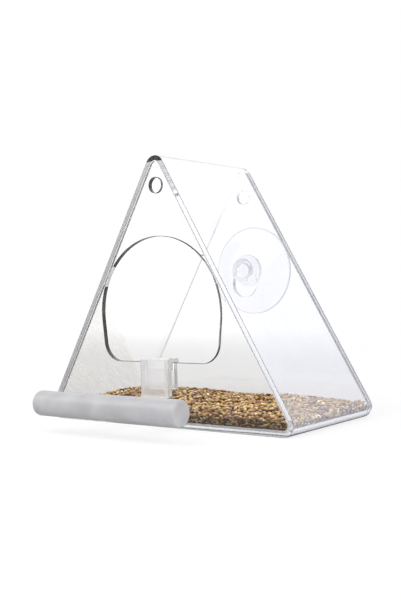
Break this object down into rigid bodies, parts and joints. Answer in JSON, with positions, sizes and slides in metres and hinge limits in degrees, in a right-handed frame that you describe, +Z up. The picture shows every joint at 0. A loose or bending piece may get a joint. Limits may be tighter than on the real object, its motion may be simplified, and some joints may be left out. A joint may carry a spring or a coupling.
{
  "type": "window bird feeder",
  "caption": "Clear triangular house feeder with a round feeding opening, a clip-on round perch, a keyhole suction cup and a bed of seed.",
  "frame": {"origin": "on the plane of the floor's underside, below the middle of the whole object's box", "axes": "+X along the width and the perch, -Y towards the side with the feeding opening, +Y towards the window, +Z up"},
  "size_m": [0.1816, 0.1526, 0.1593],
  "materials": {
    "clear_acrylic": "polished clear sheet with bright cut edges",
    "clip_acrylic": "clear glued sheet",
    "frosted_acrylic": "frosted, translucent white",
    "clear_soft_plastic": "clear soft vinyl",
    "mixed_seed": "loose mixed seed"
  },
  "bodies": {
    "house": {"body_shell": "clear_acrylic", "front_panel": "clear_acrylic", "rear_panel": "clear_acrylic", "seed_bed": "mixed_seed"},
    "perch": {"perch_saddle": "clip_acrylic", "perch_arm": "clip_acrylic", "perch_rod": "frosted_acrylic"},
    "cup": {"suction_cup": "clear_soft_plastic"}
  },
  "joints": [
    {"name": "perch_lift", "type": "slide", "parent": "house", "child": "perch", "axis": [0, 0, 1], "range_m": [0, 0.018]},
    {"name": "cup_slide", "type": "slide", "parent": "house", "child": "cup", "axis": [0, 0, -1], "range_m": [0, 0.0084]}
  ]
}
